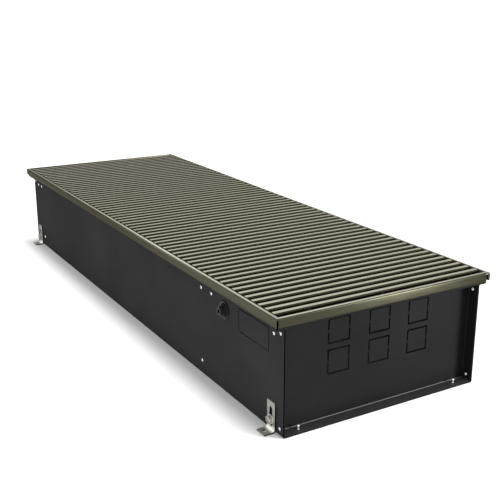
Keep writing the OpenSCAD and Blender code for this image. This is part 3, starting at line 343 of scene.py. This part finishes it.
def bronze_anodised(name, up, sides, lines, roughness, low_angle):
    """Anodised aluminium, painted light on the faces up and painted shade on the sides: up and
    sides each give a dark and a light shade, and roughness gives theirs. lines stretches the die's
    lines along X or Y. At a low angle the oxide layer dulls the gloss to low_angle."""
    material, tree, shader, place = start(name, up[0], 1.0, roughness[0])
    shader.inputs["Specular Tint"].default_value = linear(low_angle)
    drawn = add(tree, "ShaderNodeMapping", {"Vector": place, "Scale": lines}).outputs["Vector"]
    # die lines of 0.2 mm, drawn at 0.6 mm so that they show
    die = {"Vector": drawn, "Scale": per(0.6), "Detail": 2.0}
    die = add(tree, "ShaderNodeTexNoise", die).outputs["Fac"]
    colours = []
    for dark, light in (sides, up):
        shades = {0: die, 6: linear(dark), 7: linear(light)}
        colours.append(add(tree, "ShaderNodeMix", shades, data_type="RGBA").outputs[2])
    facing = add(tree, "ShaderNodeTexCoord").outputs["Normal"]
    painted_light_up = add(tree, "ShaderNodeSeparateXYZ", {"Vector": facing}).outputs["Z"]
    painted_light_up = {"Value": painted_light_up, "From Min": 0.92, "From Max": 0.995}
    painted_light_up = add(tree, "ShaderNodeMapRange", painted_light_up).outputs["Result"]
    shades = {0: painted_light_up, 6: colours[0], 7: colours[1]}
    add(tree, "ShaderNodeMix", shades, shader.inputs["Base Color"], data_type="RGBA")
    gloss = {"Value": painted_light_up, "To Min": roughness[1], "To Max": roughness[0]}
    gloss = add(tree, "ShaderNodeMapRange", gloss).outputs["Result"]
    streaks = {0: die, 1: 0.1, 2: gloss}
    add(tree, "ShaderNodeMath", streaks, shader.inputs["Roughness"], operation="MULTIPLY_ADD")
    return material


# painted light on the tops and painted shade on the sides, darker on the end pieces than on the
# long ones
frame_top_painted_light = ("#e0ddcb", "#f9f6e7")
long_sides_painted_shade = ("#4c4a3f", "#68665b")
end_sides_painted_shade = ("#2c2b21", "#4b4a3d")
along_x = (0.02, 1, 1)
along_y = (1, 0.02, 1)
long_anodised = bronze_anodised(
    "anodised_frame_long", frame_top_painted_light, long_sides_painted_shade, along_x, roughness=(0.2, 0.37), low_angle="#adaca7"
)
end_anodised = bronze_anodised(
    "anodised_frame_end", frame_top_painted_light, end_sides_painted_shade, along_y, roughness=(0.2, 0.33), low_angle="#9a9a9a"
)
# the lines spread the gloss across themselves, which the profiles' UV map tells the shader
for material, spread_across in ((long_anodised, 1.0), (end_anodised, 0.75)):
    tree = material.node_tree
    shader = tree.nodes["Principled BSDF"]
    shader.inputs["Anisotropic"].default_value = spread_across
    across = {"direction_type": "UV_MAP", "uv_map": "across_the_lines"}
    add(tree, "ShaderNodeTangent", into=shader.inputs["Tangent"], **across)

edge_break = 0.35 * mm
least_turn = math.radians(40)
for side, material, length_axis in (
    ("front", long_anodised, Vector((1, 0, 0))),
    ("back", long_anodised, Vector((1, 0, 0))),
    ("right", end_anodised, Vector((0, 1, 0))),
    ("left", end_anodised, Vector((0, 1, 0))),
):
    node = f"frame_{side}"
    shape = bmesh.new()
    shape.from_mesh(nodes[node].data)
    bmesh.ops.remove_doubles(shape, verts=shape.verts, dist=0.002 * mm)
    bmesh.ops.dissolve_limit(
        shape, angle_limit=math.radians(1), verts=shape.verts, edges=shape.edges
    )
    sharp = [e for e in shape.edges if e.is_manifold and e.calc_face_angle() > least_turn]
    bmesh.ops.bevel(
        shape, geom=sharp, offset=edge_break, offset_type="OFFSET", segments=2, profile=0.5,
        affect="EDGES", material=-1, clamp_overlap=True,
    )
    cross_axis = Vector((1, 1, 1)) - length_axis
    layer = shape.loops.layers.uv.new("across_the_lines")
    for face in shape.faces:
        for loop in face.loops:
            loop[layer].uv = (loop.vert.co.dot(cross_axis), loop.vert.co.dot(length_axis))
    piece = make(f"edge_profile_{side}", shape, [material], "casing")
    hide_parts(node)

# the keys in the mitres are zinc die castings, satin and faintly cloudy
zinc_keys = patchy("corner_key_zinc", "#b9bcbe", "#b9bcbe", 1.0, (0.28, 0.45), 6)[0]
finish(zinc_keys, "frame_corner_keys")

# ---------------------------------------------------------------------------
# Roll-up grille: 61 anodised aluminium slats threaded on three close-wound steel
# springs, with black plastic sleeves between them. It lies on rubber strips.
# ---------------------------------------------------------------------------
# anodised as the frame is, with painted light on the tops and painted shade on the sides that face
# each other across the narrow gaps
slat_top_painted_light = ("#c9c6b4", "#ece9d5")
slat_sides_painted_shade = ("#14130d", "#29281e")
slat_anodised = bronze_anodised(
    "anodised_slats", slat_top_painted_light, slat_sides_painted_shade, along_y, roughness=(0.22, 0.4), low_angle="#9a9a9a"
)
finish(slat_anodised, "grille_slats")

spring_steel, tree, shader, place = start("close_wound_spring", "#b9babb", 1.0, 0.3)
# close-wound wire of 1 mm. Turns 1 mm apart are too fine to show, and these are 6.3 mm apart.
# A wave texture passes 20 radians over a unit of its scale.
drawn_turn = 2 * math.pi * mm
wave = {"Vector": place, "Scale": 2 * math.pi / (20 * drawn_turn)}
turns = add(tree, "ShaderNodeTexWave", wave, bands_direction="X")
relief = {"Height": turns.outputs["Fac"], "Distance": 0.3 * mm}
add(tree, "ShaderNodeBump", relief, shader.inputs["Normal"])
finish(spring_steel, "grille_springs")

# moulded sleeves with a faint flow pattern, and extruded rubber with a grey bloom
sleeve_plastic = patchy("sleeve_plastic", "#171718", "#171718", 0.0, (0.38, 0.55), 0.8, 2.0)[0]
finish(sleeve_plastic, "grille_spacers")
strip_rubber = patchy("buffer_rubber", "#050506", "#242425", 0.0, (0.75, 0.75), 4, 4.0)[0]
finish(strip_rubber, "grille_buffers")

# ---------------------------------------------------------------------------
# Cable grommet: moulded black rubber, a stepped cone snapped into the long wall,
# cut back step by step to suit the cable. Its skin is dull and finely grained.
# ---------------------------------------------------------------------------
grommet_rubber, tree, shader, skin = patchy(
    "grommet_rubber", "#090909", "#2b2b2b", 0.0, (0.5, 0.5), 1.2
)
shader.inputs["Specular IOR Level"].default_value = 0.25
relief = {"Height": skin, "Distance": 0.04 * mm, "Strength": 0.4}
add(tree, "ShaderNodeBump", relief, shader.inputs["Normal"])
finish(grommet_rubber, "cable_grommet")

# ---------------------------------------------------------------------------
# Coil: copper tubes with pressed aluminium fins, brazed copper bends and brass
# pipe fittings. The tubes are drawn and bright, a little darker where handled.
# ---------------------------------------------------------------------------
# rolled foil, with the roll's streaks down the fins
down_z = (1, 1, 0.03)
fin_foil = patchy("fin_aluminium", "#c2c5c7", "#c2c5c7", 1.0, (0.26, 0.42), 0.8, 2.0, down_z)[0]
finish(fin_foil, "coil_fins")

copper, tree, shader, stain = patchy(
    "drawn_copper", "#682315", "#d99262", 1.0, (0.2, 0.42), patch_mm=25, detail=5.0
)
# handling stains have ragged edges
stain.node.inputs["Roughness"].default_value = 0.6
finish(copper, "coil_tubes", "coil_bends")

# turned brass, bright, with darker patches of 3 mm, and nickel plating, smooth and a little warm
brass = patchy("turned_brass", "#91722a", "#d4b876", 1.0, (0.2, 0.36), 3, 4.0)[0]
finish(brass, "flow_fitting", "return_fitting", "vent_body", "earth_stud", "fan_bearings")

nickel = patchy("nickel_plated_brass", "#d2cec0", "#d2cec0", 1.0, (0.14, 0.28), 2)[0]
finish(nickel, "vent_screw")

# ---------------------------------------------------------------------------
# Cross-flow fan: two drum impellers on one ground steel shaft, with the motor
# between them and the bearings in rubber rings. Rotors and motor are painted.
# ---------------------------------------------------------------------------
# satin black paint, faintly mottled
rotor_paint = patchy("rotor_paint", "#171818", "#343538", 0.0, (0.34, 0.5), 2)[0]
finish(rotor_paint, "impeller_right", "impeller_left", "fan_motor")

# the grinding marks run round the shaft
round_x = (1, 0.05, 0.05)
ground_steel = patchy("ground_steel", "#c6c7c9", "#c6c7c9", 1.0, (0.14, 0.28), 0.5, 2.0, round_x)[0]
finish(ground_steel, "fan_shaft")
finish(strip_rubber, "fan_rubber_rings")

# ---------------------------------------------------------------------------
# Control box: injection-moulded plastic base and lid with a fine spark-eroded
# texture, a pale polyamide terminal block inside and zinc-plated screws.
# ---------------------------------------------------------------------------


def moulded(name, dark, light):
    """Moulded plastic that shows the spark-eroded grain of its mould."""
    material, tree, shader, grain = patchy(name, dark, light, 0.0, (0.55, 0.55), 0.9)
    relief = {"Height": grain, "Distance": 0.05 * mm, "Strength": 0.5}
    add(tree, "ShaderNodeBump", relief, shader.inputs["Normal"])
    return material


finish(moulded("box_plastic", "#252729", "#37393b"), "control_box")
finish(moulded("lid_plastic", "#2c2e34", "#404246"), "control_box_lid")
finish(moulded("terminal_polyamide", "#c3c1b7", "#e8e6df"), "terminal_block")


def zinc_plated(name, dark, light, metallic, roughness):
    """Zinc plating: a thin cloudy coat on steel, bright, or dulled by its passivation."""
    clouds = (roughness - 0.08, roughness + 0.08)
    material, tree, shader, patches = patchy(name, dark, light, metallic, clouds, 7, 4.0)
    shader.inputs["Specular Tint"].default_value = linear("#9a9a9a")
    return material


screw_zinc = zinc_plated("screw_zinc", "#a3a4a5", "#dbdcdd", metallic=0.8, roughness=0.3)
finish(screw_zinc, "lid_screws", "rivet_nuts")

# ---------------------------------------------------------------------------
# Levelling feet: slotted angle brackets of 2 mm zinc-plated steel, held to the
# wall by one hexagon bolt and washer each.
# ---------------------------------------------------------------------------
foot_zinc = zinc_plated("foot_zinc", "#87857e", "#b0aea7", metallic=0.5, roughness=0.42)
tree = foot_zinc.node_tree
shader = tree.nodes["Principled BSDF"]
coordinates = add(tree, "ShaderNodeTexCoord").outputs

# a painted highlight on the bend, bright near both the wall and the floor
wall_y = 155 * mm
spot = add(tree, "ShaderNodeSeparateXYZ", {"Vector": coordinates["Object"]}).outputs
off_centre = add(tree, "ShaderNodeMath", {0: spot["Y"]}, operation="ABSOLUTE").outputs[0]
fading = {"To Min": 1.0, "To Max": 0.0}
near_wall = {"Value": off_centre, "From Min": wall_y + 6 * mm, "From Max": wall_y + 8 * mm}
near_wall = add(tree, "ShaderNodeMapRange", near_wall | fading).outputs["Result"]
near_floor = {"Value": spot["Z"], "From Min": 6.5 * mm, "From Max": 9 * mm}
near_floor = add(tree, "ShaderNodeMapRange", near_floor | fading).outputs["Result"]
painted_bend_highlight = {0: near_wall, 1: near_floor}
painted_bend_highlight = add(tree, "ShaderNodeMath", painted_bend_highlight, operation="MULTIPLY").outputs[0]
plated = shader.inputs["Base Color"].links[0].from_socket
bright = {0: painted_bend_highlight, 6: plated, 7: linear("#f2f0ea")}
bright = add(tree, "ShaderNodeMix", bright, data_type="RGBA").outputs[2]

# painted shade: the edges that face along the wall are drawn near black
endways = add(tree, "ShaderNodeSeparateXYZ", {"Vector": coordinates["Normal"]}).outputs["X"]
endways = add(tree, "ShaderNodeMath", {0: endways}, operation="ABSOLUTE").outputs[0]
painted_shade_edges = {"Value": endways, "From Min": 0.8, "From Max": 0.95}
painted_shade_edges = add(tree, "ShaderNodeMapRange", painted_shade_edges).outputs["Result"]
coat = {0: painted_shade_edges, 6: bright, 7: linear("#1c1b19")}
add(tree, "ShaderNodeMix", coat, shader.inputs["Base Color"], data_type="RGBA")
finish(foot_zinc, "foot_front_right", "foot_front_left", "foot_back_right", "foot_back_left")

washer_zinc = zinc_plated("washer_zinc", "#dddbd5", "#f6f4ef", metallic=0.7, roughness=0.3)
finish(washer_zinc, "foot_washers")

# bolts with a chamfered head, sizes in mm; the shank starts a tenth inside the head
bolt_zinc = zinc_plated("bolt_zinc", "#8e8c85", "#bfbdb6", metallic=0.85, roughness=0.32)
bolt_af = 9.5
bolt_head_h = 4
bolt_chamfer = 0.6
shank_r = 2.9
shank_l = 12
shank_top = 0.1
corner_r = bolt_af / math.sqrt(3) * mm
bolt = bmesh.new()
bmesh.ops.create_cone(
    bolt, cap_ends=True, segments=6, radius1=corner_r, radius2=corner_r,
    depth=bolt_head_h * mm, matrix=Matrix.Translation((0, 0, bolt_head_h / 2 * mm)),
)
top = (bolt_head_h - 1) * mm
rim = [e for e in bolt.edges if min(v.co.z for v in e.verts) > top]
bmesh.ops.bevel(
    bolt, geom=rim, offset=bolt_chamfer * mm, segments=2, profile=0.5, affect="EDGES", material=-1
)
bmesh.ops.create_cone(
    bolt, cap_ends=True, segments=24, radius1=shank_r * mm, radius2=shank_r * mm,
    depth=shank_l * mm, matrix=Matrix.Translation((0, 0, (shank_top - shank_l / 2) * mm)),
)
bolts = bmesh.new()
for low, high in solids("foot_bolts"):
    gather(bolts, bolt, on_wall(low, high, bolt_head_h))
bolt.free()
levelling_bolts = make("levelling_bolts", bolts, [bolt_zinc], "casing")
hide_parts("foot_bolts")

# ---------------------------------------------------------------------------
# Studio: a white paper floor in a white room, an overhead key that the metal doesn't mirror,
# two broad fills and two softboxes, one at the left and one behind the right end.
# The camera has the photograph's angle and view.
# ---------------------------------------------------------------------------


def seen_directly(tree):
    """1 on rays from the lens, from mirrors and through glass, and 0 on light's other ways."""
    path = add(tree, "ShaderNodeLightPath").outputs
    seen = {0: path["Is Camera Ray"], 1: path["Is Glossy Ray"]}
    seen = add(tree, "ShaderNodeMath", seen, operation="MAXIMUM").outputs[0]
    seen = {0: seen, 1: path["Is Transmission Ray"]}
    return add(tree, "ShaderNodeMath", seen, operation="MAXIMUM").outputs[0]


floor_half_size = 150
floor_shape = bmesh.new()
bmesh.ops.create_grid(floor_shape, x_segments=1, y_segments=1, size=floor_half_size)
floor_mesh = bpy.data.meshes.new("floor")
floor_shape.to_mesh(floor_mesh)
floor_shape.free()
floor = bpy.data.objects.new("floor", floor_mesh)
bpy.context.scene.collection.objects.link(floor)

# matt paper with no gloss at all, lifted a little so that its shadows stay light
paper_lift = 0.06
paper, tree, shader, place = start("white_paper", "#e4e4e4", 0.0, 0.9)
shader.inputs["Specular IOR Level"].default_value = 0.0
shader.inputs["Emission Color"].default_value = linear("#ffffff")
lift = {0: seen_directly(tree), 1: paper_lift}
add(tree, "ShaderNodeMath", lift, shader.inputs["Emission Strength"], operation="MULTIPLY")
floor_mesh.materials.append(paper)

# the lens and the mirrors of the metal see a white room, which lights the object as a grey one
room_light = 0.38
world = bpy.data.worlds.new("studio")
bpy.context.scene.world = world
world.use_nodes = True
room = world.node_tree.nodes["Background"]
room.inputs["Color"].default_value = linear("#ffffff")
brightness = {"Value": seen_directly(world.node_tree), "To Min": room_light, "To Max": 1.0}
add(world.node_tree, "ShaderNodeMapRange", brightness, room.inputs["Strength"])


def sun(name, azimuth, height, width, level):
    """Parallel soft light, its angles in degrees; at level 1 it lights white to white."""
    lamp = bpy.data.lights.new(name, "SUN")
    lamp.angle = math.radians(width)
    lamp.energy = level * math.pi
    holder = bpy.data.objects.new(name, lamp)
    holder.rotation_euler = (0, math.radians(90 - height), math.radians(azimuth))
    bpy.context.scene.collection.objects.link(holder)
    return holder


def softbox(name, azimuth, height, distance, width, tall, level):
    """A rectangular lamp aimed at the heater's right half, with its face at a brightness of
    level, where 1 is white."""
    lamp = bpy.data.lights.new(name, "AREA")
    lamp.shape = "RECTANGLE"
    lamp.size = width
    lamp.size_y = tall
    lamp.energy = level * math.pi * width * tall
    holder = bpy.data.objects.new(name, lamp)
    aim = Vector((0.3, 0, 0.1))
    turn = Matrix.Rotation(math.radians(azimuth), 4, "Z")
    turn @= Matrix.Rotation(math.radians(-height), 4, "Y")
    holder.location = turn @ Vector((distance, 0, 0)) + aim
    holder.rotation_euler = (holder.location - aim).to_track_quat("Z", "Y").to_euler()
    bpy.context.scene.collection.objects.link(holder)


# the key is hidden from glossy rays, so the metal doesn't mirror it
key = sun("overhead_key", azimuth=58, height=84, width=16, level=0.85)
key.visible_glossy = False
sun("front_fill", azimuth=-75, height=16, width=50, level=0.33)
sun("end_fill", azimuth=12, height=50, width=50, level=0.15)
softbox("left_softbox", azimuth=203, height=30, distance=3.5, width=0.8, tall=0.8, level=8.0)
softbox("end_softbox", azimuth=41, height=10, distance=6.0, width=1.6, tall=2.0, level=58.0)

look_down = 17.053
turned_left = 59.64
camera_data = bpy.data.cameras.new("camera")
camera_data.sensor_width = 36
camera_data.lens = 60.63
camera_data.clip_end = 400
camera = bpy.data.objects.new("camera", camera_data)
camera.location = (1.2605, -0.6499, 0.5192)
camera.rotation_euler = (math.radians(90 - look_down), 0, math.radians(turned_left))
bpy.context.scene.collection.objects.link(camera)
bpy.context.scene.camera = camera
bpy.context.scene.view_settings.view_transform = "Standard"
